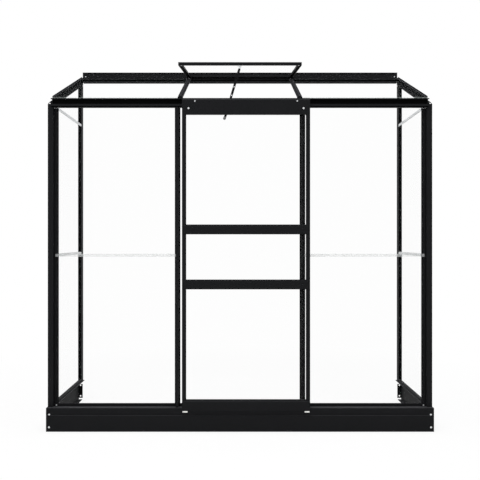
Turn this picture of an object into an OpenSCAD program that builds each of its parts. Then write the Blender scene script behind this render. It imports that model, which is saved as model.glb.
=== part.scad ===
// Lean-to greenhouse against a wall: black aluminium bars on a steel base,
// three bays wide, a sliding door in the middle bay and an opened roof vent.
// Origin: bottom centre, x to the right, y towards the wall, z up.

/* [Overall] */
// width over the corner posts
frame_width = 1925; // [1600:5:2400]
// depth from the corner posts' front faces to the wall
frame_depth = 690; // [600:5:1100]
// top of the eave bar above the ground
eave_height = 1663; // [1500:1:1800]
// top of the ridge bar above the ground
ridge_height = 1948; // [1900:1:2200]

/* [Base] */
// height of the steel base
base_height = 118; // [100:1:160]
// how far each side of the base stands out beyond the posts
base_side_margin = 2.5; // [0:0.5:10]
// how far the base stands in front of the posts
base_front_margin = 25; // [25:1:40]
// sheet thickness of the base
base_sheet = 2.5; // [1.5:0.5:3]
// width of the base's top flange at the sides
base_top_flange = 36; // [36:1:50]
// width of the base's bottom flange
base_bottom_flange = 22; // [18:1:30]
// width of the upright return flanges at the ends of the side pieces
return_flange = 25; // [22:1:32]
// lower end of the return flanges
return_bottom = 11; // [8:1:15]
// upper end of the return flanges
return_top = 94; // [90:1:98]
// radius of the wall screw holes
wall_hole_radius = 4.5; // [2.5:0.1:4.8]
// height of the lower wall screw holes
wall_hole_low = 23; // [20:1:28]
// height of the upper wall screw holes
wall_hole_high = 87; // [76:1:88]
// distance of the wall screw holes from the base's outer face
wall_hole_inset = 13; // [11:0.5:14]

/* [Bars] */
// wall thickness of the bars
bar_wall = 2.5; // [2:0.1:3]
// side of the corner posts' square tube
corner_tube = 26; // [25.5:0.5:30]
// width of the corner posts with their glazing lip
corner_width = 49; // [48:1:60]
// width of the door posts' flange
post_width = 28; // [24:1:30]
// width of the door posts' outward stem
stem_width = 11; // [8:1:12]
// how far the stem stands in front of the corner posts
stem_forward = 12; // [6:1:12]
// distance of the door posts' centres from the middle
door_post_x = 314.5; // [311:0.5:316]
// depth of the wall posts' glazing lip
wall_post_depth = 45; // [40:1:60]
// height of the sills
sill_height = 14; // [12:1:20]
// distance of the glass from the bars' outer faces
glass_inset = 20; // [20:0.5:22]
// height of the eave bar
eave_bar_height = 44.5; // [43:0.5:60]
// height of the door track's edge above the bottom of the eave bar
track_height = 15.5; // [14:0.5:20]
// height of the track's front edge
track_lip = 10.5; // [6:0.5:11]
// distance of the eave bar's ends from the corner posts' outer faces
eave_end_inset = 16.5; // [15:0.5:17]
// height of the ridge bar
ridge_bar_height = 60; // [56:1:70]
// depth of the ridge bar with its lips
ridge_bar_depth = 33; // [30:1:40]
// thickness across the gable bars
gable_bar_width = 12; // [10:0.5:14]
// height of the gable bars below the roof glass
gable_bar_height = 50; // [44:1:56]
// distance of the rafters' centres from the middle
rafter_x = 301; // [300:0.5:316]
// width of the rafters' flange
rafter_width = 27; // [24:1:30]
// height of the rafters' web below the glass
rafter_web = 25; // [22:1:30]
// drop of the roof glass below the ridge bar's top, at the front of the ridge bar
roof_drop = 37; // [34:1:40]

/* [Glass] */
// thickness of the glass
glass_thickness = 3; // [3:0.5:3.5]
// thickness of the roof glass
roof_glass_thickness = 4; // [3:0.5:5]
// gap between the front glass and the middle of a corner post's lip
corner_glass_inset = 39.5; // [38:0.5:42]
// height of the middle joint between the panes
joint_height = 877; // [700:1:1000]
// gap between the strips below the gable panes and the gable bars
gable_strip_gap = 0.4; // [0.3:0.1:3]
// height of the glazing strips
strip_height = 15; // [10:1:20]
// thickness of a glazing strip's flanges
strip_flange = 1.5; // [1:0.1:1.8]

/* [Vent] */
// width over the roof vent's frame
vent_width = 622; // [560:1:630]
// length of the roof vent from the ridge to its free edge
vent_length = 650; // [480:5:700]
// how far the opened vent's free edge hangs below its hinge edge, in degrees
vent_tilt = 7.4; // [4:0.1:12]
// height and width of the vent's bars
vent_bar = 16; // [12:1:18]
// overhang of the vent's glass beyond its free edge
vent_glass_overhang = 7; // [2:1:15]
// length of the vent's stay
stay_length = 262; // [200:1:300]
// width of the stay
stay_width = 12; // [10:0.5:16]
// thickness of the stay
stay_thickness = 3; // [2:0.5:4]
// spacing of the holes in the stay
stay_hole_spacing = 44; // [30:1:60]
// radius of the holes in the stay
stay_hole_radius = 2.8; // [2:0.1:4]
// sideways lean of the stay in degrees
stay_lean = 17; // [0:1:25]
// backward lean of the stay in degrees
stay_back = 11; // [9:1:16]

/* [Door] */
// width of the door
door_width = 636; // [620:1:650]
// how far the door stands open to the right of the closed place
door_shift = 30; // [0:1:60]
// gap between the door and the base's front
door_gap = 5; // [5:0.5:8]
// width of the door's stiles
stile_width = 21; // [19:0.5:28]
// depth of the door's stiles
stile_depth = 16; // [13:0.5:16]
// top of the door's header above the ground
door_top = 1659; // [1656:1:1662]
// height of the door's header
header_height = 82; // [70:1:84]
// how far the door's bottom rail hangs below the top of the base
door_overlap = 13; // [10:1:18]
// height of the door's bottom rail
bottom_rail_height = 56; // [50:1:70]
// middle of the door's lower middle rail
lower_rail_z = 733.5; // [600:0.5:800]
// middle of the door's upper middle rail
upper_rail_z = 1006.5; // [900:0.5:1100]
// height of the door's middle rails
rail_height = 49; // [40:1:60]
// length of the nylon glides
glide_length = 24; // [20:1:40]
// height of the nylon glides
glide_height = 7; // [5:0.5:10]
// distance of the rollers from the door's edges
roller_inset = 64; // [40:1:100]
// distance of the rollers' axles below the door's top
roller_drop = 15; // [13:0.5:16]

/* [Hidden] */
black = [0.12, 0.125, 0.13];
clear = [0.85, 0.92, 0.93, 0.35];
strip_colour = [0.8, 0.82, 0.83, 0.6];
white = [0.92, 0.92, 0.9];
steel = [0.7, 0.7, 0.7];
t = bar_wall;
rail_proud = 3;
face_thickness = 3;
door_front_to_base = door_gap + rail_proud + face_thickness;
overall_depth = frame_depth + base_front_margin + door_front_to_base;
wall_y = overall_depth / 2;
base_y = -overall_depth / 2 + door_front_to_base;
post_y = base_y + base_front_margin;
half_width = frame_width / 2;
base_half = half_width + base_side_margin;
front_flange = base_front_margin + base_top_flange - base_side_margin;
sill_top = base_height + sill_height;
glass_back = glass_inset + glass_thickness;
groove = 0.5;
sill_back = glass_back + t + groove;
side_sill_start = max(corner_tube, sill_back);
eave_bottom = eave_height - eave_bar_height;
eave_front = 8;
eave_rear = glass_back + t;
eave_half = half_width - eave_end_inset;
ridge_half = half_width - eave_end_inset - gable_bar_width;
ridge_bottom = ridge_height - ridge_bar_height;
roof_high_y = wall_y - ridge_bar_depth;
roof_high_z = ridge_height - roof_drop;
roof_low_y = post_y - eave_front;
roof_slope = (roof_high_z - eave_height) / (roof_high_y - roof_low_y);
roof_angle = atan(roof_slope);
stem_rise = 5;
gable_web = glass_inset - strip_flange - eave_end_inset - 0.2;
seat = 0.1;
stay_x = -4;
stay_drop = 19;
front_set = 0.5;
strip_start = post_y + corner_width + 0.5;
gable_joint_height =
  floor((roof_z(strip_start) - gable_bar_height - gable_strip_gap) * 10) / 10;
pane_out = half_width - corner_glass_inset;
pane_in = door_post_x + stem_width / 2 + 1.5;
side_low_y = post_y + corner_glass_inset;
side_high_y = wall_y - 28;
door_mid = door_shift;
door_left = door_mid - door_width / 2;
door_right = door_mid + door_width / 2;
stile_front = base_y - door_gap - face_thickness;
stile_rear = stile_front + stile_depth;
door_glass_back = stile_rear - t;
door_glass_front = door_glass_back - glass_thickness;
rail_front = stile_front - rail_proud;
header_bottom = door_top - header_height;
door_bottom = base_height - door_overlap;
bottom_rail_top = door_bottom + bottom_rail_height;
track_top = eave_bottom + track_height;
roller_z = door_top - roller_drop;
roller_clearance = 0.2;
roller_radius = roller_z - track_top - roller_clearance;
hinge_bottom = roof_high_z + stem_rise + 1;
hinge_y = wall_y - 25;
far = 3000;

function roof_z(y) = eave_height + roof_slope * (y - roof_low_y);

// a bar along x from x0 to x1 with its section drawn as [y, z]
module along_x(x0, x1, section) {
  translate([x0, 0, 0])
    rotate([90, 0, 90])
      linear_extrude(height = x1 - x0)
        polygon(section);
}

// a bar along y from y0 to y1 with its section drawn as [x, z]
module along_y(y0, y1, section) {
  translate([0, y1, 0])
    rotate([90, 0, 0])
      linear_extrude(height = y1 - y0)
        polygon(section);
}

// a box between two corners
module box(low, high) {
  translate(low)
    cube(high - low);
}

// everything under a plane lying the given drop below the roof glass
module below_roof(drop) {
  y0 = post_y - 400;
  y1 = wall_y + 400;
  along_x(-far, far, [
    [y0, -10],
    [y1, -10],
    [y1, roof_z(y1) - drop],
    [y0, roof_z(y0) - drop]
  ]);
}

// a layer following the roof between two heights measured straight up from the glass
module roof_layer(x0, x1, y0, y1, low, high) {
  along_x(x0, x1, [
    [y0, roof_z(y0) + low],
    [y1, roof_z(y1) + low],
    [y1, roof_z(y1) + high],
    [y0, roof_z(y0) + high]
  ]);
}

module side(s) {
  scale([s, 1, 1])
    children();
}

module base_front() {
  color(black)
    along_x(-base_half + base_sheet, base_half - base_sheet, [
      [base_y + 1.5, base_height],
      [base_y, base_height - 4],
      [base_y, base_height - 14],
      [base_y + 4, base_height - 36],
      [base_y + front_set, base_height - 38],
      [base_y + front_set, 3],
      [base_y + front_set + 1, 0],
      [base_y + 3 + base_bottom_flange, 0],
      [base_y + 3 + base_bottom_flange, base_sheet],
      [base_y + front_set + 1 + base_sheet, base_sheet],
      [base_y + front_set + base_sheet, 5],
      [base_y + front_set + base_sheet, base_height - 39.5],
      [base_y + 4 + base_sheet, base_height - 37],
      [base_y + base_sheet, base_height - 14],
      [base_y + base_sheet, base_height - base_sheet],
      [base_y + front_flange, base_height - base_sheet],
      [base_y + front_flange, base_height]
    ]);
}

// the left side piece of the base
module base_side() {
  y0 = base_y + front_set + base_sheet;
  difference() {
    union() {
      box([-base_half, base_y + front_set, 0],
        [-base_half + base_sheet, wall_y, base_height]);
      box([-base_half, base_y + front_flange, base_height - base_sheet],
        [-base_half + base_top_flange, wall_y, base_height]);
      box([-base_half, base_y + 4 + base_bottom_flange, 0],
        [-base_half + base_bottom_flange, wall_y, base_sheet]);
      box([-base_half, y0, return_bottom],
        [-base_half + return_flange, y0 + base_sheet, return_top - 20]);
      box([-base_half, wall_y - base_sheet, return_bottom],
        [-base_half + return_flange, wall_y, return_top]);
    }
    for (z = [wall_hole_low, wall_hole_high])
      translate([-base_half + wall_hole_inset, wall_y + 1, z])
        rotate([90, 0, 0])
          cylinder(r = wall_hole_radius, h = base_sheet + 2, $fn = 48);
  }
}

module base_left() {
  color(black)
    base_side();
}

module base_right() {
  color(black)
    side(-1)
      base_side();
}

// section of a sill across its run, from the outside inwards
function sill_section(edge, s) = [
  [edge + s * (glass_inset - t - groove), base_height],
  [edge + s * sill_back, base_height],
  [edge + s * sill_back, sill_top],
  [edge + s * (glass_back + groove), sill_top],
  [edge + s * (glass_back + groove), base_height + t],
  [edge + s * (glass_inset - groove), base_height + t],
  [edge + s * (glass_inset - groove), sill_top],
  [edge + s * (glass_inset - t - groove), sill_top]
];

module sill_front() {
  color(black)
    along_x(-half_width + corner_tube, half_width - corner_tube, sill_section(post_y, 1));
}

module sill_left() {
  color(black)
    along_y(post_y + side_sill_start, wall_y - wall_post_depth, sill_section(-half_width, 1));
}

module sill_right() {
  color(black)
    side(-1)
      along_y(post_y + side_sill_start, wall_y - wall_post_depth, sill_section(-half_width, 1));
}

// the left corner post: a square tube with a glazing lip on each inner side
module corner_post() {
  x0 = -half_width;
  c = corner_tube;
  difference() {
    union() {
      difference() {
        box([x0, post_y, base_height], [x0 + c, post_y + c, track_top]);
        box([x0 + t, post_y + t, 0], [x0 + c - t, post_y + c - t, far]);
      }
      box([x0 + c - t, post_y + glass_back, sill_top],
        [x0 + corner_width, post_y + glass_back + t, eave_bottom]);
      box([x0 + glass_back, post_y + c - t, sill_top],
        [x0 + glass_back + t, post_y + corner_width, eave_bottom]);
      box([x0 + c + 5, post_y + glass_back - 4, sill_top],
        [x0 + c + 5 + t, post_y + glass_back + 1, eave_bottom]);
    }
    box([-eave_half - 0.5, post_y - 1, eave_bottom], [0, post_y + corner_width + 1, far]);
  }
}

module corner_post_left() {
  color(black)
    corner_post();
}

module corner_post_right() {
  color(black)
    side(-1)
      corner_post();
}

// a door post: a flange behind the glass with a stem standing out in front
module door_post(x) {
  w = stem_width / 2;
  box([x - post_width / 2, post_y + glass_back, sill_top],
    [x + post_width / 2, post_y + glass_back + t, eave_height - 13]);
  difference() {
    box([x - w, post_y - stem_forward, base_height],
      [x + w, post_y + glass_back + 1, eave_bottom]);
    box([x - w - 1, post_y + glass_inset - t - groove, 0],
      [x + w + 1, post_y + glass_back + 9, sill_top]);
    box([x - w + 2, post_y - stem_forward + 2, 0],
      [x + w - 2, post_y + glass_inset - 6, far]);
  }
}

module door_post_left() {
  color(black)
    door_post(-door_post_x);
}

module door_post_right() {
  color(black)
    door_post(door_post_x);
}

module wall_post() {
  x0 = -half_width;
  intersection() {
    union() {
      box([x0, wall_y - t, base_height], [x0 + glass_back + t, wall_y, far]);
      box([x0, wall_y - 22, base_height], [x0 + t, wall_y, far]);
      box([x0 + glass_back, wall_y - wall_post_depth, base_height],
        [x0 + glass_back + t, wall_y, far]);
    }
    below_roof(gable_bar_height);
  }
}

module wall_post_left() {
  color(black)
    wall_post();
}

module wall_post_right() {
  color(black)
    side(-1)
      wall_post();
}

module eave_bar() {
  y = post_y;
  b = eave_bottom;
  web = glass_inset - groove;
  color(black)
    along_x(-eave_half, eave_half, [
      [y - eave_front, eave_height],
      [y - eave_front, eave_height - 5],
      [y - eave_front + t, eave_height - 5],
      [y - eave_front + t, eave_height - t],
      [y + web - t, eave_height - t],
      [y + web - t, track_top - 3.5],
      [y - eave_front + t, track_top - 3.5],
      [y - eave_front + t, track_top],
      [y - eave_front, track_top],
      [y - eave_front, track_top - track_lip],
      [y - eave_front + t, track_top - track_lip],
      [y - eave_front + t, track_top - 6],
      [y + web - t, track_top - 6],
      [y + web - t, b + t],
      [y, b + t],
      [y, b],
      [y + web, b],
      [y + web, eave_height - t],
      [y + eave_rear - t, eave_height - t],
      [y + eave_rear - t, eave_height - 13],
      [y + eave_rear, eave_height - 13],
      [y + eave_rear, eave_height]
    ]);
}

module ridge_bar() {
  w = wall_y;
  h = ridge_height;
  b = ridge_bottom;
  d = ridge_bar_depth;
  color(black)
    along_x(-ridge_half, ridge_half, [
      [w, h],
      [w, b],
      [w - t, b],
      [w - t, h - t],
      [w - 25 + t, h - t],
      [w - 25 + t, b],
      [w - d, b],
      [w - d, b + 8],
      [w - d + t, b + 8],
      [w - d + t, b + t],
      [w - 25, b + t],
      [w - 25, roof_high_z - 6],
      [w - d, roof_high_z - 6],
      [w - d + 2.5, roof_high_z],
      [w - 25, roof_high_z],
      [w - 25, h - 4],
      [w - 28, h - 4],
      [w - 28, h]
    ]);
}

// the left gable bar: an upright web with lips for the roof glass and the gable pane
module gable_bar() {
  x0 = -eave_half;
  x1 = x0 + gable_bar_width;
  y0 = post_y + eave_rear;
  g = -half_width + glass_back;
  roof_layer(x0, x0 + gable_web, y0, wall_y, -gable_bar_height, stem_rise);
  roof_layer(x0, x1, y0, wall_y, -t, 0);
  roof_layer(x0, x1, y0, wall_y, -28, -28 + t);
  roof_layer(g, g + t, y0, wall_y, -gable_bar_height + 4, -28 + 1);
  roof_layer(x0, x1, wall_y - t, wall_y, -28, 0);
}

module gable_bar_left() {
  color(black)
    gable_bar();
}

module gable_bar_right() {
  color(black)
    side(-1)
      gable_bar();
}

module rafter(x) {
  y0 = post_y + eave_rear;
  y1 = roof_high_y;
  roof_layer(x - rafter_width / 2, x + rafter_width / 2, y0, y1, -t, 0);
  roof_layer(x - stem_width / 2, x + stem_width / 2, y0, y1, -t, stem_rise);
  roof_layer(x - 2, x + 2, y0, y1, -rafter_web, -1);
  along_x(x - rafter_width / 2, x + rafter_width / 2, [
    [y0, eave_height - 10],
    [y0 + t, eave_height - 10],
    [y0 + t, roof_z(y0 + t) - 1],
    [y0, roof_z(y0) - 1]
  ]);
}

module rafter_left() {
  color(black)
    rafter(-rafter_x);
}

module rafter_right() {
  color(black)
    rafter(rafter_x);
}

module front_glass() {
  y0 = post_y + glass_inset;
  y1 = post_y + glass_back;
  box([-pane_out, y0, base_height + t], [-pane_in, y1, joint_height - 0.75]);
  box([-pane_out, y0, joint_height + 0.75], [-pane_in, y1, eave_bottom + 10]);
}

module front_glass_left() {
  color(clear)
    front_glass();
}

module front_glass_right() {
  color(clear)
    side(-1)
      front_glass();
}

// the left side's panes: lower, upper and the sloping gable pane
module side_glass() {
  x0 = -half_width + glass_inset;
  x1 = -half_width + glass_back;
  z1 = gable_joint_height + 0.75;
  box([x0, side_low_y, base_height + t], [x1, wall_y - wall_post_depth, sill_top + 1]);
  box([x0, side_low_y, sill_top], [x1, side_high_y, joint_height - 0.75]);
  box([x0, side_low_y, joint_height + 0.75], [x1, side_high_y, gable_joint_height - 0.75]);
  along_x(x0, x1, [
    [side_low_y, z1],
    [side_high_y, z1],
    [side_high_y, roof_z(side_high_y) - 34],
    [side_low_y, roof_z(side_low_y) - 34]
  ]);
}

module side_glass_left() {
  color(clear)
    side_glass();
}

module side_glass_right() {
  color(clear)
    side(-1)
      side_glass();
}

module roof_glass() {
  x0 = -eave_half + t + 1;
  x1 = -max(rafter_x + stem_width / 2 + 1, vent_width / 2 + 0.5);
  roof_layer(x0, x1, roof_low_y, hinge_y - 0.5, seat, roof_glass_thickness + seat);
}

module roof_glass_left() {
  color(clear)
    roof_glass();
}

module roof_glass_right() {
  color(clear)
    side(-1)
      roof_glass();
}

module front_strip() {
  y0 = post_y + glass_inset;
  y1 = post_y + glass_back;
  h = strip_height / 2;
  z = joint_height;
  box([-pane_out, y0 - strip_flange, z - h], [-pane_in, y0, z + h]);
  box([-pane_out, y0 - 0.2, z - 0.75], [-pane_in, y1, z + 0.75]);
  box([-half_width + corner_width + 0.5, y1 - 1, z - 0.75],
    [-door_post_x - post_width / 2 - 0.5, y1 + strip_flange, z + 0.75]);
  box([-half_width + corner_width + 0.5, y1, z - h],
    [-door_post_x - post_width / 2 - 0.5, y1 + strip_flange, z + h]);
}

module front_strip_left() {
  color(strip_colour)
    front_strip();
}

module front_strip_right() {
  color(strip_colour)
    side(-1)
      front_strip();
}

// the left side's two strips, at the middle joint and under the gable pane
module side_strips() {
  x0 = -half_width + glass_inset;
  x1 = -half_width + glass_back;
  h = strip_height / 2;
  ya = strip_start;
  yb = wall_y - wall_post_depth - 0.5;
  for (z = [joint_height, gable_joint_height]) {
    up = z == joint_height ? h : 4;
    box([x0 - strip_flange, side_low_y, z - h], [x0, side_high_y, z + up]);
    box([x0 - 0.2, side_low_y, z - 0.75], [x1, side_high_y, z + 0.75]);
    box([x1 - 1, ya, z - 0.75], [x1 + strip_flange, yb, z + 0.75]);
    box([x1, ya, z - h], [x1 + strip_flange, yb, z + up]);
  }
}

module side_strips_left() {
  color(strip_colour)
    side_strips();
}

module side_strips_right() {
  color(strip_colour)
    side(-1)
      side_strips();
}

// places what is drawn with its hinge edge at y = 0 and its bars' tops at z = 0
module in_vent() {
  translate([0, hinge_y, hinge_bottom + vent_bar])
    rotate([vent_tilt, 0, 0])
      children();
}

module vent_hinge_bar() {
  w = vent_width / 2;
  z = hinge_bottom + vent_bar;
  color(black)
    along_x(-w, w, [
      [hinge_y, z],
      [hinge_y, hinge_bottom],
      [hinge_y - 6, hinge_bottom],
      [hinge_y - 6, z - t],
      [hinge_y - vent_bar + t, z - t - 2],
      [hinge_y - vent_bar + t, hinge_bottom + 2],
      [hinge_y - vent_bar, hinge_bottom + 2],
      [hinge_y - vent_bar, z - 2]
    ]);
}

// the left side bar of the vent
module vent_side_bar() {
  w = vent_width / 2;
  difference() {
    in_vent() {
      box([-w, -vent_length, -vent_bar], [-w + t, 0, 0]);
      box([-w, -vent_length, -t], [-w + vent_bar, 0, 0]);
      box([-w + vent_bar - t, -vent_length, -vent_bar + 6], [-w + vent_bar, 0, 0]);
    }
    box([-w - 1, hinge_y - vent_bar - 0.1, 0], [0, wall_y, far]);
  }
}

module vent_side_bars() {
  color(black) {
    vent_side_bar();
    side(-1)
      vent_side_bar();
  }
}

module vent_front_bar() {
  w = vent_width / 2;
  color(black)
    in_vent() {
      box([-w, -vent_length - t, -vent_bar], [w, -vent_length, 0]);
      box([-w + vent_bar + 0.1, -vent_length - 1, -t], [w - vent_bar - 0.1, -vent_length + 12, 0]);
      box([-w + vent_bar + 0.1, -vent_length - 1, -vent_bar],
        [w - vent_bar - 0.1, -vent_length + 8, -vent_bar + t]);
    }
}

module vent_glass() {
  w = vent_width / 2 + 5;
  color(clear)
    in_vent()
      box([-w, -vent_length - vent_glass_overhang, 0],
        [w, -vent_bar - 4, roof_glass_thickness]);
}

module vent_stay_bracket() {
  color(steel)
    in_vent() {
      box([stay_x - 12, -vent_length + 0.5, -vent_bar - t],
        [stay_x + 12, -vent_length + 20, -vent_bar]);
      intersection() {
        in_stay()
          box([-6, seat, -6], [6, 2.5, stay_drop + 7]);
        box([stay_x - 20, -vent_length, -vent_bar - 40], [stay_x + 20, 0, -vent_bar - 1]);
      }
    }
}

// places what is drawn round the stay's pivot
module in_stay() {
  translate([stay_x, -vent_length + 14, -vent_bar - stay_drop])
    rotate([stay_back - vent_tilt, 0, 0])
      rotate([0, stay_lean, 0])
        children();
}

module vent_stay() {
  color(black)
    in_vent()
      in_stay()
        stay_bar();
}

// the stay, hanging from its pivot at the origin with its flat side to the front
module stay_bar() {
  w = stay_width / 2;
  difference() {
    union() {
      translate([-w, -stay_thickness, -stay_length + w])
        cube([stay_width, stay_thickness, stay_length - w]);
      rotate([90, 0, 0])
        cylinder(r = w, h = stay_thickness, $fn = 48);
      translate([0, 0, -stay_length + w])
        rotate([90, 0, 0])
          cylinder(r = w, h = stay_thickness, $fn = 48);
    }
    for (k = [1 : floor((stay_length - 21) / stay_hole_spacing)])
      translate([0, 1, -k * stay_hole_spacing - 1])
        rotate([90, 0, 0])
          cylinder(r = stay_hole_radius, h = stay_thickness + 2, $fn = 32);
  }
}

module door_header() {
  f = stile_front;
  z0 = header_bottom;
  z1 = door_top;
  color(black)
    along_x(door_left, door_right, [
      [f, z0],
      [f, z1 - 9],
      [f + 3, z1 - 4],
      [f + 3, z1],
      [base_y + 4, z1],
      [base_y + 4, z1 - t],
      [f + 3 + t, z1 - t],
      [f + 3 + t, z1 - 6],
      [f + t, z1 - 11],
      [f + t, z0 + t],
      [stile_rear, z0 + t],
      [stile_rear, z0]
    ]);
}

// a door stile as a channel open towards the glass, s is 1 for the left one
module stile(x, s) {
  f = stile_front;
  r = stile_rear;
  w = stile_width;
  translate([x, 0, bottom_rail_top])
    scale([s, 1, 1])
      linear_extrude(height = header_bottom - bottom_rail_top)
        polygon([
          [0, f],
          [w, f],
          [w, f + t],
          [t, f + t],
          [t, r - t],
          [w - 4, r - t],
          [w - 4, r],
          [0, r]
        ]);
}

module door_stile_left() {
  color(black)
    stile(door_left, 1);
}

module door_stile_right() {
  color(black)
    stile(door_right, -1);
}

// a middle rail: a face over the stiles, a web between the panes and a lip behind
module middle_rail(z) {
  h = rail_height / 2;
  f = rail_front;
  inner = stile_width + 0.5;
  along_x(door_left + 9, door_right - 9, [
    [f, z - h + 4],
    [f, z + h - 9],
    [f + 2.8, z + h],
    [stile_front, z + h],
    [stile_front, z - h],
    [f + 2, z - h]
  ]);
  along_x(door_left + inner, door_right - inner, [
    [stile_front - 1, z - 1.5],
    [stile_front - 1, z + 1.5],
    [door_glass_back, z + 1.5],
    [door_glass_back, z + 14],
    [stile_rear, z + 14],
    [stile_rear, z - 14],
    [door_glass_back, z - 14],
    [door_glass_back, z - 1.5]
  ]);
}

module door_rail_upper() {
  color(black)
    middle_rail(upper_rail_z);
}

module door_rail_lower() {
  color(black)
    middle_rail(lower_rail_z);
}

module door_bottom_rail() {
  f = stile_front;
  z0 = door_bottom;
  z1 = bottom_rail_top;
  color(black)
    along_x(door_left, door_right, [
      [f, z0],
      [f, z1 - 10],
      [f + 3, z1 - 5],
      [f + 3, z1],
      [stile_rear, z1],
      [stile_rear, z1 - 14],
      [stile_rear - t, z1 - 14],
      [stile_rear - t, z1 - t],
      [f + 3 + face_thickness, z1 - t],
      [f + 3 + face_thickness, z1 - 6],
      [f + face_thickness, z1 - 11],
      [f + face_thickness, z0]
    ]);
}

module door_glass() {
  x0 = door_left + 11;
  x1 = door_right - 11;
  color(clear) {
    box([x0, door_glass_front, bottom_rail_top],
      [x1, door_glass_back, lower_rail_z - 1.5]);
    box([x0, door_glass_front, lower_rail_z + 1.5],
      [x1, door_glass_back, upper_rail_z - 1.5]);
    box([x0, door_glass_front, upper_rail_z + 1.5],
      [x1, door_glass_back, header_bottom]);
  }
}

// a grooved nylon roller on its axle, turning on the edge of the track
module roller(x) {
  y = post_y - eave_front + t / 2;
  translate([x, y, roller_z])
    rotate([90, 0, 0]) {
      translate([0, 0, -3.5])
        cylinder(r = roller_radius, h = 7, $fn = 48);
      cylinder(r = 3, h = y - stile_front - t, $fn = 32);
    }
}

module door_rollers() {
  color(white) {
    roller(door_left + roller_inset);
    roller(door_right - roller_inset);
  }
}

module door_glides() {
  color(white)
    for (x = [door_left + 3, door_right - 3 - glide_length])
      box([x, stile_front, door_bottom - glide_height],
        [x + glide_length, base_y - 0.3, door_bottom]);
}

base_front();
base_left();
base_right();
sill_front();
sill_left();
sill_right();
corner_post_left();
corner_post_right();
door_post_left();
door_post_right();
wall_post_left();
wall_post_right();
eave_bar();
ridge_bar();
gable_bar_left();
gable_bar_right();
rafter_left();
rafter_right();
front_glass_left();
front_glass_right();
side_glass_left();
side_glass_right();
roof_glass_left();
roof_glass_right();
front_strip_left();
front_strip_right();
side_strips_left();
side_strips_right();
vent_front_bar();
vent_hinge_bar();
vent_side_bars();
vent_glass();
vent_stay();
vent_stay_bracket();
door_header();
door_stile_left();
door_stile_right();
door_rail_upper();
door_rail_lower();
door_bottom_rail();
door_glass();
door_rollers();
door_glides();
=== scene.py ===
import math

import bmesh
import bpy
from mathutils import Matrix, Vector


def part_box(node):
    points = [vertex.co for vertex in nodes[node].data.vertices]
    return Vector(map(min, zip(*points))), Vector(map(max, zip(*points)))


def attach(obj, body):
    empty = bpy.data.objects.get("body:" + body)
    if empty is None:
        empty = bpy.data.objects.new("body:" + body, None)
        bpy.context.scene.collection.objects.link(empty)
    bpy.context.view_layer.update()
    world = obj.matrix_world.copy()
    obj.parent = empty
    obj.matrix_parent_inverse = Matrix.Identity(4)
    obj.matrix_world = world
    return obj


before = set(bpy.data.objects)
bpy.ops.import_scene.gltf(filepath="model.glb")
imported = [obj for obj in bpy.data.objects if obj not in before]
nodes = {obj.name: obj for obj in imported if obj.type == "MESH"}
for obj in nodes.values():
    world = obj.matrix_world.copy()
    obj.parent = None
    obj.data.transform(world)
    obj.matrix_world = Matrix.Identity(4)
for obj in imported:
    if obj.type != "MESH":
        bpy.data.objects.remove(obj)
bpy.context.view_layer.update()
mm = 0.001

print("stage: frame loaded,", len(nodes), "parts")


# sRGB hex to the linear colour that Blender's sockets take
def colour(hexText, alpha=1.0):
    parts = [int(hexText[i:i + 2], 16) / 255 for i in (1, 3, 5)]
    return [c / 12.92 if c <= 0.04045 else ((c + 0.055) / 1.055) ** 2.4 for c in parts] + [alpha]


# adds one node to a tree, sets its properties and sockets, and links what is handed in as a socket
def addNode(tree, kind, settings=None, **sockets):
    node = tree.nodes.new(kind)
    for name, value in (settings or {}).items():
        setattr(node, name, value)
    for name, value in sockets.items():
        key = int(name[1:]) if name[0] == "i" and name[1:].isdigit() else name.replace("_", " ")
        if isinstance(value, bpy.types.NodeSocket):
            tree.links.new(value, node.inputs[key])
        else:
            node.inputs[key].default_value = value
    return node


def newMaterial(name):
    material = bpy.data.materials.new(name)
    material.use_nodes = True
    material.node_tree.nodes.clear()
    return material, material.node_tree


def setOutput(tree, shader):
    addNode(tree, "ShaderNodeOutputMaterial", Surface=shader)


powderCoat = {
    "hex": "#18191a",
    "cloudHex": "#1c1c1e",
    "paintedShadeHex": "#101112",  # painted shade: a darker colour on the faces that look down
    "peelMm": 1.6,  # spacing of the orange peel that the baked powder leaves
    "cloudMm": 140,  # slow patches where the film is a little thicker
    "reliefMm": 0.2,
    "roughness": 0.58,
    "roughnessSpread": 0.05,
    "paintedShadeSlopes": (-0.95, -0.2),  # how far a face looks up, between which the painted shade on downward faces fades out
    "paintedHighlightSlopes": (0.35, 0.95),  # and between which the painted highlight comes in on faces that look up
}

coatFinishes = {
    "powderCoatedAluminium": {"duller": 0.0, "bump": 0.03, "specular": 0.05, "paintedHighlightHex": "#313133"},
    "powderCoatedSteel": {"duller": 0.04, "bump": 0.06, "specular": 0.05, "paintedHighlightHex": "#313133"},
    # the sloping roof bars: duller, with a fainter painted highlight on the faces that look up
    "mattCoatedRoofBars": {"duller": 0.14, "bump": 0.015, "specular": 0.015, "paintedHighlightHex": "#1f1f21"},
}
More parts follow.
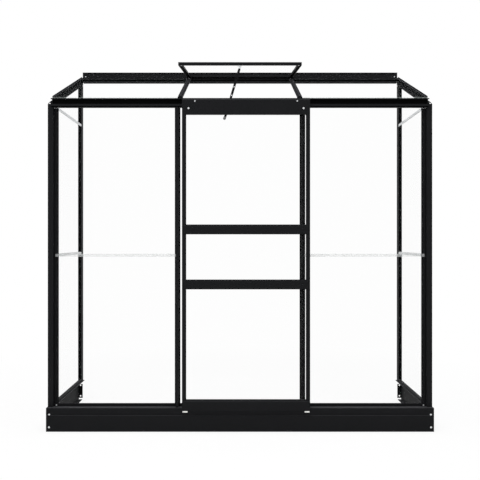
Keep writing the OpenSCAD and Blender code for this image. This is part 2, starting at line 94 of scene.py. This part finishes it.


# black polyester powder coat, baked on: an even, fine-textured film that gives broad, dull highlights; its
# colour also holds painted shade on faces that look down and a painted highlight on faces that look up
def powderCoatedMaterial(name):
    look = powderCoat
    finish = coatFinishes[name]
    rough = look["roughness"] + finish["duller"]
    spread = look["roughnessSpread"]
    material, tree = newMaterial(name)
    place = addNode(tree, "ShaderNodeTexCoord").outputs["Object"]
    peel = addNode(tree, "ShaderNodeTexNoise", Vector=place, Scale=1 / (look["peelMm"] * mm), Detail=2.0)
    cloud = addNode(tree, "ShaderNodeTexNoise", Vector=place, Scale=1 / (look["cloudMm"] * mm), Detail=4.0)
    tint = addNode(tree, "ShaderNodeMix", {"data_type": "RGBA"}, i0=cloud.outputs["Fac"],
                   i6=colour(look["hex"]), i7=colour(look["cloudHex"]))
    facing = addNode(tree, "ShaderNodeNewGeometry").outputs["Normal"]
    upward = addNode(tree, "ShaderNodeSeparateXYZ", Vector=facing).outputs["Z"]
    # painted shade: faces that look down take the darker colour
    paintedShadeShare = addNode(tree, "ShaderNodeMapRange", Value=upward,
                    From_Min=look["paintedShadeSlopes"][0], From_Max=look["paintedShadeSlopes"][1])
    lower = addNode(tree, "ShaderNodeMix", {"data_type": "RGBA"}, i0=paintedShadeShare.outputs[0],
                    i6=colour(look["paintedShadeHex"]), i7=tint.outputs[2])
    # painted highlight: faces that look up take the lighter colour, for the light from above
    paintedHighlightShare = addNode(tree, "ShaderNodeMapRange", Value=upward,
                    From_Min=look["paintedHighlightSlopes"][0], From_Max=look["paintedHighlightSlopes"][1])
    coated = addNode(tree, "ShaderNodeMix", {"data_type": "RGBA"}, i0=paintedHighlightShare.outputs[0],
                     i6=lower.outputs[2], i7=colour(finish["paintedHighlightHex"]))
    sheen = addNode(tree, "ShaderNodeMapRange", Value=cloud.outputs["Fac"],
                    To_Min=rough - spread, To_Max=rough + spread)
    relief = addNode(tree, "ShaderNodeBump", Height=peel.outputs["Fac"], Strength=finish["bump"],
                     Distance=look["reliefMm"] * mm)
    coat = addNode(tree, "ShaderNodeBsdfPrincipled", Base_Color=coated.outputs[2],
                   Roughness=sheen.outputs[0], Normal=relief.outputs[0],
                   Specular_IOR_Level=finish["specular"])
    setOutput(tree, coat.outputs[0])
    return material


glassLook = {
    "hex": "#24342e",
    "filmHex": "#2c3a35",
    "smearMm": 260,  # size of the faint washing marks
    "roughness": 0.03,
    "roughnessSpread": 0.05,
    "ior": 1.52,
    "specular": 0.25,
    "alpha": 0.008,
}


# clear toughened float glass: fire-polished and all but unseen, with a thin green-grey cast and a faint gloss
def toughenedGlassMaterial():
    look = glassLook
    material, tree = newMaterial("toughenedGlass")
    place = addNode(tree, "ShaderNodeTexCoord").outputs["Object"]
    smear = addNode(tree, "ShaderNodeTexNoise", Vector=place, Scale=1 / (look["smearMm"] * mm), Detail=4.0)
    tint = addNode(tree, "ShaderNodeMix", {"data_type": "RGBA"}, i0=smear.outputs["Fac"],
                   i6=colour(look["hex"]), i7=colour(look["filmHex"]))
    haze = addNode(tree, "ShaderNodeMapRange", Value=smear.outputs["Fac"],
                   To_Min=look["roughness"], To_Max=look["roughness"] + look["roughnessSpread"])
    pane = addNode(tree, "ShaderNodeBsdfPrincipled", Base_Color=tint.outputs[2],
                   Roughness=haze.outputs[0], IOR=look["ior"], Alpha=look["alpha"],
                   Specular_IOR_Level=look["specular"])
    setOutput(tree, pane.outputs[0])
    return material


# materials that share one make-up: two mottled tones with a slight relief
mottledLooks = {
    # seamed glass edge: ground with a fine belt, so it is misty and faintly green where the pane is clear
    "seamedGlassEdge": {
        "hex": "#ccd3d0",
        "mottleHex": "#bcc6c1",
        "mottleMm": 0.8,  # the belt's grit
        "detail": 2.0,
        "roughness": 0.35,
        "bump": 0.1,
        "reliefMm": 0.1,
        "ior": 1.52,
        "alpha": 0.15,
    },
    # grey PVC: extruded and through-coloured, with a silky face and a slight mottle
    "greyPvc": {
        "hex": "#cfd1d2",
        "mottleHex": "#c3c5c7",
        "mottleMm": 5.5556,
        "detail": 3.0,
        "roughness": 0.45,
        "bump": 0.05,
        "reliefMm": 0.2,
        "ior": 1.53,
        "alpha": 1.0,
    },
    # white nylon: moulded and waxy, which gives the rollers and glides a soft light look
    "whiteNylon": {
        "hex": "#f6f6f3",
        "mottleHex": "#e9e9e4",
        "mottleMm": 1.1111,
        "detail": 2.0,
        "roughness": 0.42,
        "bump": 0.05,
        "reliefMm": 0.2,
        "ior": 1.53,
        "alpha": 1.0,
    },
    # grey nylon: the same moulding in mid grey, dull and a little waxy
    "greyNylon": {
        "hex": "#8d8e8f",
        "mottleHex": "#7d7e7f",
        "mottleMm": 1.1111,
        "detail": 2.0,
        "roughness": 0.42,
        "bump": 0.05,
        "reliefMm": 0.2,
        "ior": 1.53,
        "alpha": 1.0,
    },
}


def mottledMaterial(name):
    look = mottledLooks[name]
    material, tree = newMaterial(name)
    place = addNode(tree, "ShaderNodeTexCoord").outputs["Object"]
    mottle = addNode(tree, "ShaderNodeTexNoise", Vector=place, Scale=1 / (look["mottleMm"] * mm),
                     Detail=look["detail"])
    tint = addNode(tree, "ShaderNodeMix", {"data_type": "RGBA"}, i0=mottle.outputs["Fac"],
                   i6=colour(look["hex"]), i7=colour(look["mottleHex"]))
    relief = addNode(tree, "ShaderNodeBump", Height=mottle.outputs["Fac"], Strength=look["bump"],
                     Distance=look["reliefMm"] * mm)
    body = addNode(tree, "ShaderNodeBsdfPrincipled", Base_Color=tint.outputs[2], Normal=relief.outputs[0],
                   Roughness=look["roughness"], IOR=look["ior"], Alpha=look["alpha"])
    setOutput(tree, body.outputs[0])
    return material


stripLook = {
    "hex": "#f1f3f3",
    "lineHex": "#e9ecec",
    "roughness": (0.25, 0.4),
    "ior": 1.53,
    "frontAlpha": 0.18,  # the front strips are thinner, so more shows through them
    "sideAlpha": 0.7,
    "lineMm": 7.917,  # spacing of the lines left by the die
    "lineWaver": 0.4,
}
waveLength = math.pi / 10  # of a wave texture's bands at scale 1, in metres


# milky PVC strip: extruded through a die, half clear, with faint lines along its length
def milkyPvcMaterial(name, alpha):
    look = stripLook
    material, tree = newMaterial(name)
    place = addNode(tree, "ShaderNodeTexCoord").outputs["Object"]
    lines = addNode(tree, "ShaderNodeTexWave", {"bands_direction": "Z"}, Vector=place,
                    Scale=waveLength / (look["lineMm"] * mm), Distortion=look["lineWaver"])
    tint = addNode(tree, "ShaderNodeMix", {"data_type": "RGBA"}, i0=lines.outputs["Fac"],
                   i6=colour(look["hex"]), i7=colour(look["lineHex"]))
    rough = addNode(tree, "ShaderNodeMapRange", Value=lines.outputs["Fac"],
                    To_Min=look["roughness"][0], To_Max=look["roughness"][1])
    strip = addNode(tree, "ShaderNodeBsdfPrincipled", Base_Color=tint.outputs[2],
                    Roughness=rough.outputs[0], Alpha=alpha, IOR=look["ior"])
    setOutput(tree, strip.outputs[0])
    return material


zincLook = {"hex": "#f1f2f2", "cloudHex": "#d4d7da", "cloudMm": 2.5, "roughness": (0.3, 0.45)}


# bright zinc-plated steel: pale silvery bolts with a slightly cloudy plating
def zincPlatedMaterial():
    look = zincLook
    material, tree = newMaterial("zincPlatedSteel")
    place = addNode(tree, "ShaderNodeTexCoord").outputs["Object"]
    cloud = addNode(tree, "ShaderNodeTexNoise", Vector=place, Scale=1 / (look["cloudMm"] * mm), Detail=3.0)
    tint = addNode(tree, "ShaderNodeMix", {"data_type": "RGBA"}, i0=cloud.outputs["Fac"],
                   i6=colour(look["hex"]), i7=colour(look["cloudHex"]))
    rough = addNode(tree, "ShaderNodeMapRange", Value=cloud.outputs["Fac"],
                    To_Min=look["roughness"][0], To_Max=look["roughness"][1])
    body = addNode(tree, "ShaderNodeBsdfPrincipled", Base_Color=tint.outputs[2],
                   Roughness=rough.outputs[0], Metallic=1.0)
    setOutput(tree, body.outputs[0])
    return material


rubberLook = {"hex": "#040404", "paintedHighlightHex": "#090909", "dustMm": 16.6667, "roughness": 0.8, "specular": 0.08}


# black rubber seal: extruded, dead matt, the darkest thing on the frame; laid in the recesses of the eave and
# the ridge, its black also paints the shade that falls there
def rubberSealMaterial():
    look = rubberLook
    material, tree = newMaterial("blackRubberSeal")
    place = addNode(tree, "ShaderNodeTexCoord").outputs["Object"]
    dust = addNode(tree, "ShaderNodeTexNoise", Vector=place, Scale=1 / (look["dustMm"] * mm), Detail=5.0)
    tint = addNode(tree, "ShaderNodeMix", {"data_type": "RGBA"}, i0=dust.outputs["Fac"],
                   i6=colour(look["hex"]), i7=colour(look["paintedHighlightHex"]))
    body = addNode(tree, "ShaderNodeBsdfPrincipled", Base_Color=tint.outputs[2],
                   Roughness=look["roughness"], Specular_IOR_Level=look["specular"])
    setOutput(tree, body.outputs[0])
    return material


coatedAluminium = powderCoatedMaterial("powderCoatedAluminium")
coatedSteel = powderCoatedMaterial("powderCoatedSteel")
coatedRoofBars = powderCoatedMaterial("mattCoatedRoofBars")
toughenedGlass = toughenedGlassMaterial()
seamedEdge = mottledMaterial("seamedGlassEdge")
thinMilkyPvc = milkyPvcMaterial("thinMilkyPvc", stripLook["frontAlpha"])
milkyPvc = milkyPvcMaterial("milkyPvc", stripLook["sideAlpha"])
greyPvc = mottledMaterial("greyPvc")
whiteNylon = mottledMaterial("whiteNylon")
greyNylon = mottledMaterial("greyNylon")
zincPlated = zincPlatedMaterial()
rubberSeal = rubberSealMaterial()


edgeRounding = {"widthMm": 0.5, "segments": 2, "angle": 35}


def materialFor(name):
    if "glass" in name:
        return toughenedGlass
    if name.startswith("front_strip_"):
        return thinMilkyPvc
    if name.startswith("side_strips_"):
        return milkyPvc
    if name in ("door_rollers", "door_glides"):
        return whiteNylon
    if name == "vent_stay_bracket":
        return zincPlated
    if name.startswith("base_"):
        return coatedSteel
    if name.startswith(("rafter_", "gable_bar_")):
        return coatedRoofBars
    return coatedAluminium


for nodeName, nodeObject in nodes.items():
    finish = materialFor(nodeName)
    nodeObject.data.materials.clear()
    nodeObject.data.materials.append(finish)
    if finish in (coatedAluminium, coatedSteel, coatedRoofBars, whiteNylon):
        rounding = nodeObject.modifiers.new("edges", "BEVEL")
        rounding.width = edgeRounding["widthMm"] * mm
        rounding.segments = edgeRounding["segments"]
        rounding.limit_method = "ANGLE"
        rounding.angle_limit = math.radians(edgeRounding["angle"])
        rounding.harden_normals = True

print("stage: finishes set")


def cadCorners(name):
    low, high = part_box(name)
    return Vector(low), Vector(high)


def pieceFrom(mesh, name, material, body):
    data = bpy.data.meshes.new(name)
    mesh.to_mesh(data)
    mesh.free()
    piece = bpy.data.objects.new(name, data)
    bpy.context.scene.collection.objects.link(piece)
    data.materials.append(material)
    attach(piece, body)


# turns a profile of [radius, height] pairs, in mm, about an axis, standing on a point
def turned(mesh, profile, place, axis, steps=24):
    turn = Vector((0, 0, 1)).rotation_difference(Vector(axis)).to_matrix().to_4x4()
    move = Matrix.Translation(Vector(place)) @ turn
    angles = [2 * math.pi * k / steps for k in range(steps)]
    rings = []
    for radius, height in profile:
        ring = [(radius * mm * math.cos(a), radius * mm * math.sin(a), height * mm) for a in angles]
        if radius == 0:
            ring = [(0, 0, height * mm)]
        rings.append([mesh.verts.new(move @ Vector(point)) for point in ring])
    for low, high in zip(rings, rings[1:]):
        for k in range(steps):
            n = (k + 1) % steps
            around = [low[k % len(low)], low[n % len(low)], high[n % len(high)], high[k % len(high)]]
            corners = list(dict.fromkeys(around))
            if len(corners) > 2:
                face = mesh.faces.new(corners)
                face.smooth = True


bigHead = {"radius": 5.0, "dome": 2.4}  # in mm, on the base and the door
smallHead = {"radius": 3.6, "dome": 1.8}

# a head's outline from its rim to its socket: shares of its radius and of its dome
headOutline = [(0, 0), (1, 0), (1, 0.3), (0.94, 0.42), (0.8, 0.42), (0.76, 0.7), (0.6, 0.9), (0.32, 1),
               (0.3, 0.72), (0, 0.7)]


# a domed bolt head with a flat rim and a small socket, standing out along its axis
def domedBolt(mesh, head, place, axis=(0, -1, 0)):
    profile = [(share * head["radius"], rise * head["dome"]) for share, rise in headOutline]
    turned(mesh, profile, place, axis)


nut = {"across": 8.0, "tall": 4.0, "chamfer": 0.4, "washerTall": 0.9, "screwRadius": 2.4, "screwEnd": 2.4}


# a hexagon nut on its washer with the end of the screw, facing the wall
def hexNut(mesh, place):
    axis = (0, 1, 0)
    radius = nut["across"] / math.sqrt(3)
    washer = radius * 1.4
    base = nut["washerTall"]
    tall = nut["tall"]
    screw = nut["screwRadius"]
    end = tall + nut["screwEnd"]
    shoulder = tall - nut["chamfer"]
    turned(mesh, [(0, 0), (washer, 0), (washer, base), (0, base)], place, axis)
    turned(mesh, [(0, base), (radius, base), (radius, shoulder), (radius * 0.88, tall), (0, tall)],
           place, axis, 6)
    turned(mesh, [(0, tall), (screw, tall), (screw, end - 0.6), (screw - 0.5, end), (0, end)],
           place, axis, 16)


# a straight bar between two corners with its edges taken off
def addBar(mesh, low, high, chamfer=0.0003):
    low = Vector(low)
    size = Vector(high) - low
    made = bmesh.ops.create_cube(mesh, size=1.0)
    for vert in made["verts"]:
        vert.co = Vector([low[i] + (vert.co[i] + 0.5) * size[i] for i in range(3)])
    edges = {edge for vert in made["verts"] for edge in vert.link_edges}
    if chamfer:
        width = min(chamfer, min(size) * 0.4)
        bmesh.ops.bevel(mesh, geom=list(edges), offset=width, segments=2, affect="EDGES")


# an outline of [x, z] points, in metres, made into a plate between two depths
def addPlate(mesh, outline, holes, yFront, yBack):
    def ring(points, y):
        return [mesh.verts.new((x, y, z)) for x, z in points]

    loops = [outline] + holes
    fronts = [ring(points, yFront) for points in loops]
    backs = [ring(points, yBack) for points in loops]
    for front, back in zip(fronts, backs):
        for k in range(len(front)):
            n = (k + 1) % len(front)
            mesh.faces.new((front[k], front[n], back[n], back[k]))
    for rings in (fronts, backs):
        edges = []
        for verts in rings:
            for k in range(len(verts)):
                edges.append(mesh.edges.get((verts[k], verts[(k + 1) % len(verts)])))
        bmesh.ops.triangle_fill(mesh, use_beauty=True, edges=edges)
    bmesh.ops.recalc_face_normals(mesh, faces=mesh.faces[:])


def ellipse(x, z, wide, tall, steps=24):
    return [(x + wide * math.cos(2 * math.pi * k / steps), z + tall * math.sin(2 * math.pi * k / steps))
            for k in range(steps)]


postLow, postHigh = cadCorners("corner_post_left")
baseLow = cadCorners("base_front")[0]
sideLow = cadCorners("base_left")[0]
sillLow, sillHigh = cadCorners("sill_front")
eaveLow, eaveHigh = cadCorners("eave_bar")
ridgeLow, ridgeHigh = cadCorners("ridge_bar")
headerLow, headerHigh = cadCorners("door_header")
rafterHigh = cadCorners("rafter_left")[1]
ventLow = cadCorners("vent_front_bar")[0]
wallHigh = cadCorners("wall_post_left")[1]

# how far out the frame's bolts and nuts stand from the middle, and how high or how far back, in metres
boltPlaces = {
    "baseOut": 0.950,
    "baseLower": 0.0225,
    "baseLowerIn": 0.0005,  # how far behind the base's foremost point each row of heads sits
    "baseUpper": 0.0850,
    "baseUpperIn": 0.0035,
    "baseSheet": 0.0025,
    "sillOut": 0.9235,
    "sillUp": 0.005,
    "ridgeOut": 0.917,
    "ridgeDown": 0.0245,
    "lipDepth": 0.008,  # from the front of the ridge and the vent's front bar to their webs
    "ventOut": 0.296,
    "ventUp": 0.0012,
    "rafterOut": 0.301,
    "rafterBack": 0.034,
    "rafterDown": 0.0126,
    "eaveOut": (0.3145, 0.930),
    "eaveDown": 0.007,
}
roofUpward = (0, -0.35, 0.94)

# bolts of the fixed frame
mesh = bmesh.new()
at = boltPlaces
for side in (-1, 1):
    domedBolt(mesh, bigHead, (side * at["baseOut"], baseLow.y + at["baseLowerIn"], at["baseLower"]))
    domedBolt(mesh, bigHead, (side * at["baseOut"], baseLow.y + at["baseUpperIn"], at["baseUpper"]))
    domedBolt(mesh, smallHead, (side * at["sillOut"], sillLow.y, sillLow.z + at["sillUp"]))
    ridgePlace = (side * at["ridgeOut"], ridgeLow.y + at["lipDepth"], ridgeHigh.z - at["ridgeDown"])
    ventPlace = (side * at["ventOut"], ventLow.y + at["lipDepth"], ventLow.z + at["ventUp"])
    rafterPlace = (side * at["rafterOut"], rafterHigh.y - at["rafterBack"], rafterHigh.z - at["rafterDown"])
    domedBolt(mesh, smallHead, ridgePlace)
    domedBolt(mesh, smallHead, ventPlace, (0, 0, -1))
    domedBolt(mesh, smallHead, rafterPlace, roofUpward)
pieceFrom(mesh, "frame_bolts", zincPlated, "greenhouse")

# nuts inside the base, the posts and the eave
mesh = bmesh.new()
for side in (-1, 1):
    hexNut(mesh, (side * at["baseOut"], sideLow.y + at["baseSheet"], at["baseLower"]))
    hexNut(mesh, (side * at["sillOut"], sillHigh.y, sillLow.z + at["sillUp"]))
    for out in at["eaveOut"]:
        hexNut(mesh, (side * out, eaveHigh.y, eaveHigh.z - at["eaveDown"]))
pieceFrom(mesh, "frame_nuts", zincPlated, "greenhouse")

doorHeads = {"stileIn": 0.0325, "stileHeight": 1.608, "axleIn": 0.064, "axleHeight": 1.644}

# heads on the door: the big ones hold the stiles, the small ones are the roller axles
mesh = bmesh.new()
for x in (headerLow.x + doorHeads["stileIn"], headerHigh.x - doorHeads["stileIn"]):
    domedBolt(mesh, bigHead, (x, headerLow.y, doorHeads["stileHeight"]))
for x in (headerLow.x + doorHeads["axleIn"], headerHigh.x - doorHeads["axleIn"]):
    domedBolt(mesh, smallHead, (x, headerLow.y, doorHeads["axleHeight"]))
pieceFrom(mesh, "door_bolts", zincPlated, "door")

lug = {
    "thickness": 0.0025,
    "setBack": 0.001,
    # its outline: how far out from the middle, and how far above the post
    "outline": [(0.9625, 0), (0.9605, 0.0045), (0.9560, 0.0095), (0.9505, 0.0140), (0.9455, 0.0175),
                (0.9385, 0.0215), (0.9385, 0)],
    "holeOut": 0.9530,
    "holeUp": 0.0046,
    "holeWide": 0.0043,
    "holeTall": 0.0027,
}

# the corner lugs that tie the posts to the eave, each with one open hole
mesh = bmesh.new()
for side in (-1, 1):
    outline = [(side * out, postHigh.z + up) for out, up in lug["outline"]]
    hole = ellipse(side * lug["holeOut"], postHigh.z + lug["holeUp"], lug["holeWide"], lug["holeTall"])
    front = postLow.y + lug["setBack"]
    addPlate(mesh, outline, [hole], front, front + lug["thickness"])
pieceFrom(mesh, "corner_lugs", coatedAluminium, "greenhouse")

gableBead = {"thickness": 0.0008, "below": 0.0100, "above": 0.0040, "frontGap": 0.0495, "wallGap": 0.0455}

# grey beads along the joints below the gable panes, on the strips' inner faces
mesh = bmesh.new()
for name in ("side_strips_left", "side_strips_right"):
    low, high = cadCorners(name)
    bottom = high.z - gableBead["above"] - gableBead["below"]
    inner, inward = (high.x, 1) if high.x < 0 else (low.x, -1)
    near, far = sorted((inner, inner + inward * gableBead["thickness"]))
    addBar(mesh, (near, postLow.y + gableBead["frontGap"], bottom),
           (far, wallHigh.y - gableBead["wallGap"], high.z))
pieceFrom(mesh, "gable_beads", greyPvc, "greenhouse")

# where the clips start and end, out from the middle: at the door posts, then at the corner posts
stripClip = {"front": 0.0011, "back": 0.0001, "inset": 0.0002, "spans": ((0.3190, 0.3275), (0.9155, 0.9285))}

# grey clips on the ends of the front joints, where they meet the posts' lips
mesh = bmesh.new()
for name in ("front_strip_left", "front_strip_right"):
    low, high = cadCorners(name)
    side = 1 if low.x > 0 else -1
    for start, end in stripClip["spans"]:
        near, far = sorted((side * start, side * end))
        addBar(mesh, (near, low.y - stripClip["front"], low.z + stripClip["inset"]),
               (far, low.y - stripClip["back"], high.z - stripClip["inset"]))
pieceFrom(mesh, "strip_clips", greyNylon, "greenhouse")

stayTip = {
    "halfWidth": 0.0066,
    "length": 0.017,
    "front": -0.0035,
    "back": 0.0005,
    "lift": 0.006,  # from the stay's end to the middle of the cap's round end
    "tiltX": 11,  # how the stay hangs, in degrees
    "tiltY": 17,
}

# the grey cap pushed over the lower end of the vent's stay, drawn hanging from its middle
mesh = bmesh.new()
half = stayTip["halfWidth"]
arc = [(half * math.cos(a), half * math.sin(a)) for a in [-math.pi * k / 12 for k in range(13)]]
addPlate(mesh, arc + [(-half, stayTip["length"] - half), (half, stayTip["length"] - half)], [],
         stayTip["front"], stayTip["back"])
stayTurn = (Matrix.Rotation(math.radians(stayTip["tiltX"]), 4, "X")
            @ Matrix.Rotation(math.radians(stayTip["tiltY"]), 4, "Y"))
stayDown = stayTurn @ Vector((0, 0, -1))
stayFace = stayTurn @ Vector((0, -1, 0))
stayPoints = [nodes["vent_stay"].matrix_world @ vert.co for vert in nodes["vent_stay"].data.vertices]
reach = max(point.dot(stayDown) for point in stayPoints)
tipEnds = [point for point in stayPoints if reach - point.dot(stayDown) < 0.0002]
rear = min(tipEnds, key=lambda point: point.dot(stayFace))
capPlace = Matrix.Translation(rear - stayDown * stayTip["lift"]) @ stayTurn
bmesh.ops.transform(mesh, matrix=capPlace, verts=mesh.verts[:])
pieceFrom(mesh, "stay_tip", greyNylon, "greenhouse")

# the seals lie on the webs of the eave and the ridge, each between two heights of its bar
seals = {
    "thickness": 0.0015,
    "endGap": 0.001,
    "eaveWeb": 0.017,  # behind the front of the corner posts
    "upperEave": (-0.0245, -0.0030),  # from the eave's top
    "lowerEave": (0.0030, 0.0090),  # from its bottom
    "ridgeUp": 0.0085,
    "ridgeDown": 0.0435,
}


# a seal along a bar, on a web, between two heights
def addSeal(mesh, bar, web, bottom, top):
    low, high = cadCorners(bar)
    gap = seals["endGap"]
    addBar(mesh, (low.x + gap, web - seals["thickness"], bottom), (high.x - gap, web, top))


# black rubber seals in the recesses of the eave and the ridge, where their black also paints the shade that
# falls in these recesses
mesh = bmesh.new()
eaveWeb = postLow.y + seals["eaveWeb"]
ridgeWeb = ridgeLow.y + boltPlaces["lipDepth"]
addSeal(mesh, "eave_bar", eaveWeb, *[eaveHigh.z + height for height in seals["upperEave"]])
addSeal(mesh, "eave_bar", eaveWeb, *[eaveLow.z + height for height in seals["lowerEave"]])
addSeal(mesh, "ridge_bar", ridgeWeb, ridgeLow.z + seals["ridgeUp"], ridgeHigh.z - seals["ridgeDown"])
pieceFrom(mesh, "glazing_seals_and_painted_shade", rubberSeal, "greenhouse")

paneEdge = {"thickness": 0.0003, "height": 0.0041}

# the misty green edges of the roof panes
mesh = bmesh.new()
for name in ("roof_glass_left", "roof_glass_right"):
    low, high = cadCorners(name)
    addBar(mesh, (low.x, low.y - paneEdge["thickness"], low.z),
           (high.x, low.y, low.z + paneEdge["height"]), 0)
pieceFrom(mesh, "roof_glass_edges", seamedEdge, "greenhouse")

print("stage: small parts made")


studio = {
    "floorHex": "#dcdcdc",
    "floorHalf": 300,
    "floorDrop": 0.0005,
    "worldLight": 0.32,
    "paintedShadowGlow": 0.88,  # how far the floor is lifted to white near the house: a painted shadow, a soft grey ring there, over which the real shadow also falls
    "paintedShadowFrom": 1.1,
    "paintedShadowTo": 2.6,
}


# one where a camera ray, a reflection or a view through glass meets a surface
def seenRays(tree):
    ray = addNode(tree, "ShaderNodeLightPath")
    clear = addNode(tree, "ShaderNodeMath", {"operation": "MAXIMUM"},
                    i0=ray.outputs["Is Camera Ray"], i1=ray.outputs["Is Transmission Ray"])
    return addNode(tree, "ShaderNodeMath", {"operation": "MAXIMUM"},
                   i0=clear.outputs[0], i1=ray.outputs["Is Glossy Ray"]).outputs[0]


def makeFloor():
    mesh = bmesh.new()
    bmesh.ops.create_grid(mesh, x_segments=1, y_segments=1, size=studio["floorHalf"])
    data = bpy.data.meshes.new("floor")
    mesh.to_mesh(data)
    mesh.free()
    floor = bpy.data.objects.new("floor", data)
    floor.location.z = -studio["floorDrop"]
    bpy.context.scene.collection.objects.link(floor)
    material, tree = newMaterial("paleFloor")
    place = addNode(tree, "ShaderNodeTexCoord").outputs["Object"]
    reach = addNode(tree, "ShaderNodeVectorMath", {"operation": "LENGTH"}, i0=place)
    # painted shadow: the floor's glow drops near the house, so the floor reads greyer there
    lift = addNode(tree, "ShaderNodeMapRange", {"interpolation_type": "SMOOTHSTEP"},
                   Value=reach.outputs["Value"], From_Min=studio["paintedShadowFrom"], From_Max=studio["paintedShadowTo"],
                   To_Min=studio["paintedShadowGlow"], To_Max=1.0)
    share = addNode(tree, "ShaderNodeMath", {"operation": "MULTIPLY"},
                    i0=seenRays(tree), i1=lift.outputs[0])
    paint = addNode(tree, "ShaderNodeBsdfDiffuse", Color=colour(studio["floorHex"]))
    glow = addNode(tree, "ShaderNodeEmission", Color=(1, 1, 1, 1), Strength=1.0)
    mixed = addNode(tree, "ShaderNodeMixShader", i0=share.outputs[0], i1=paint.outputs[0], i2=glow.outputs[0])
    setOutput(tree, mixed.outputs[0])
    data.materials.append(material)


def makeWorld():
    world = bpy.data.worlds.new("studio")
    bpy.context.scene.world = world
    world.use_nodes = True
    tree = world.node_tree
    tree.nodes.clear()
    white = addNode(tree, "ShaderNodeBackground", Color=(1, 1, 1, 1), Strength=1.0)
    soft = addNode(tree, "ShaderNodeBackground", Color=(1, 1, 1, 1), Strength=studio["worldLight"])
    both = addNode(tree, "ShaderNodeMixShader", i0=seenRays(tree), i1=soft.outputs[0], i2=white.outputs[0])
    addNode(tree, "ShaderNodeOutputWorld", Surface=both.outputs[0])


lamps = {
    "topSoftbox": {"place": (0.0, -0.4, 5.0), "target": (0.0, 0.0, 1.0), "size": 4.0, "power": 330.0},
    "frontSoftbox": {"place": (-1.5, -5.5, 3.5), "target": (0.0, 0.0, 0.9), "size": 3.0, "power": 85.0},
}


def makeLamp(name, look):
    data = bpy.data.lights.new(name, "AREA")
    data.shape = "SQUARE"
    data.size = look["size"]
    data.energy = look["power"]
    lamp = bpy.data.objects.new(name, data)
    lamp.location = look["place"]
    lamp.visible_glossy = False
    aim = Vector(look["target"]) - Vector(look["place"])
    lamp.rotation_euler = aim.to_track_quat("-Z", "Y").to_euler()
    bpy.context.scene.collection.objects.link(lamp)


viewpoint = {"place": (0.0, -3.892, 0.954), "lens": 53.4, "sensor": 36.0}


# level, and straight at the front
def makeCamera():
    data = bpy.data.cameras.new("camera")
    data.lens = viewpoint["lens"]
    data.sensor_width = viewpoint["sensor"]
    camera = bpy.data.objects.new("camera", data)
    camera.location = viewpoint["place"]
    camera.rotation_euler = (math.radians(90), 0, 0)
    bpy.context.scene.collection.objects.link(camera)
    bpy.context.scene.camera = camera


makeFloor()
makeWorld()
for lampName, lampLook in lamps.items():
    makeLamp(lampName, lampLook)
makeCamera()
bpy.context.scene.view_settings.view_transform = "Standard"

print("stage: studio ready")
